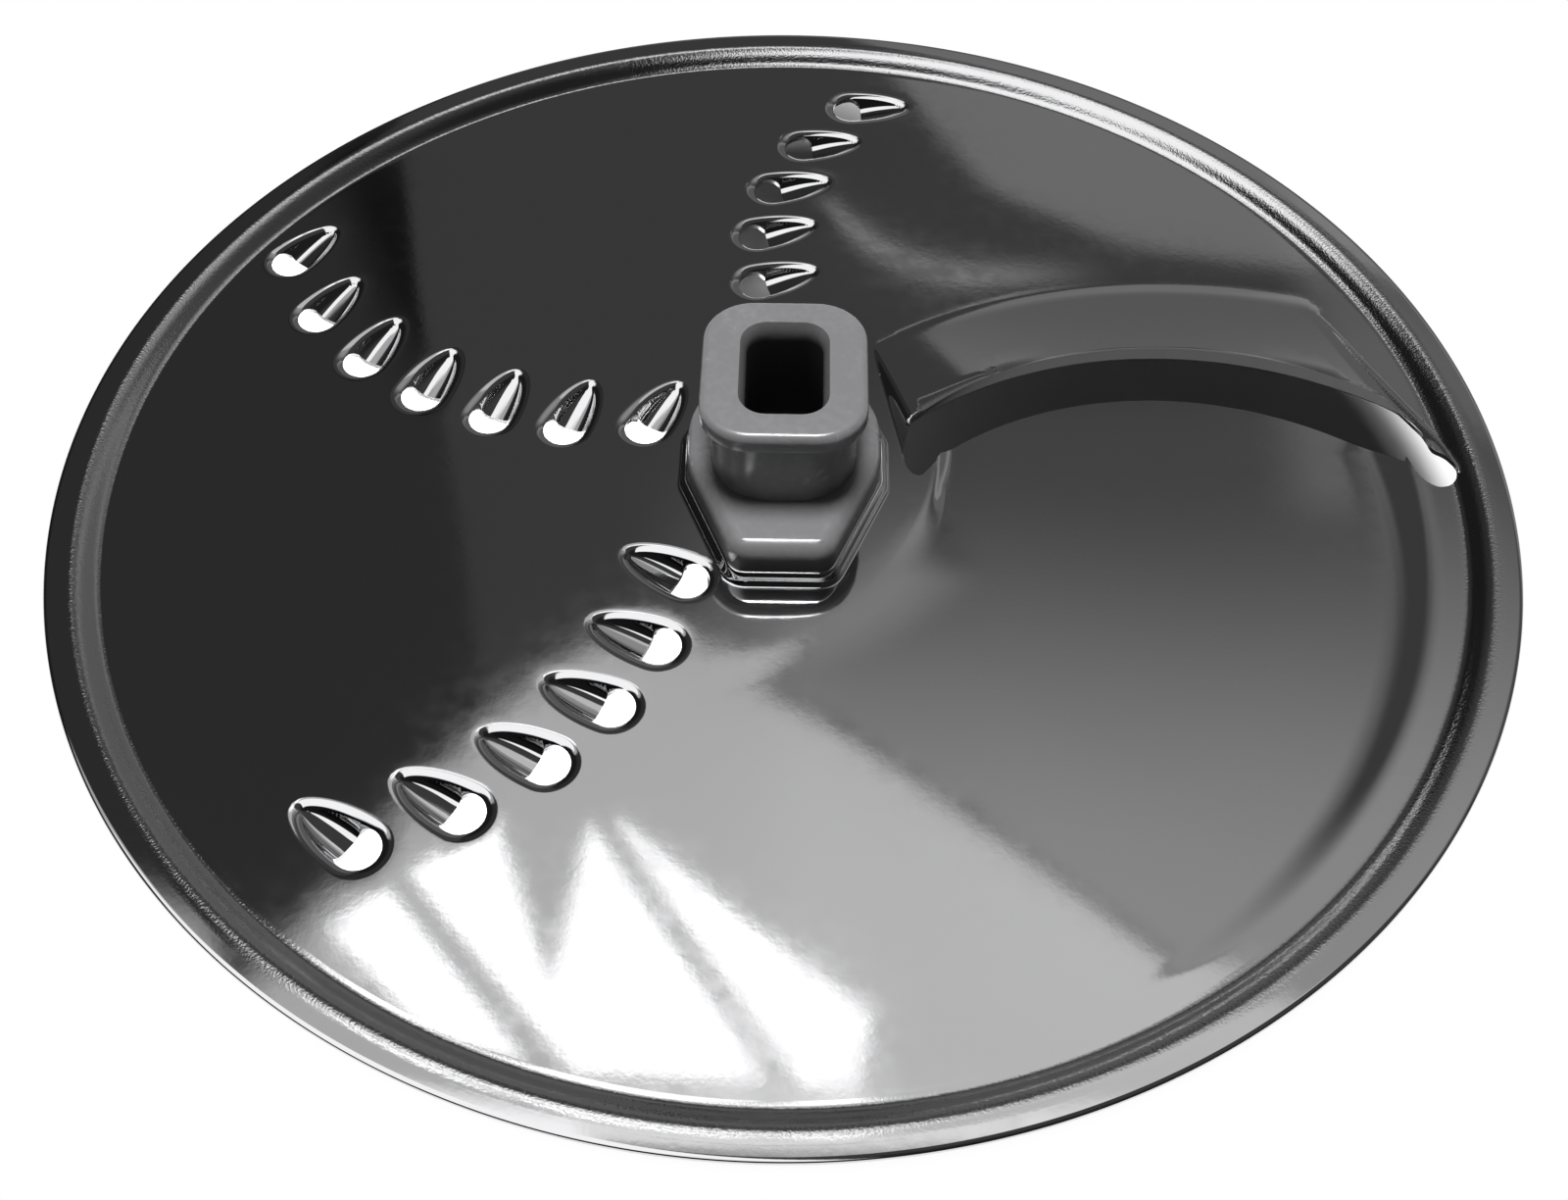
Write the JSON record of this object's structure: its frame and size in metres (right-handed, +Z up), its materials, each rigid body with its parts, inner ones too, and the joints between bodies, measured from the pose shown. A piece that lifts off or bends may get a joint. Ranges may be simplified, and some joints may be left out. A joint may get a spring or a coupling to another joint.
{
  "type": "food processor disc",
  "caption": "Round stamped steel food processor disc with a raised slicing blade, curved rows of grating teeth and a moulded drive hub.",
  "frame": {"origin": "on the drive axis, at the face of the lower collar that the disc stands on", "axes": "+Z up along the drive axis, out of the slicing side; +X from the axis towards the outer end of the blade slot"},
  "size_m": [0.174, 0.174, 0.034],
  "materials": {
    "steel": "polished stainless steel",
    "hub_plastic": "satin grey moulding"
  },
  "bodies": {
    "root": {"disc": "steel", "hub": "hub_plastic"}
  },
  "joints": []
}
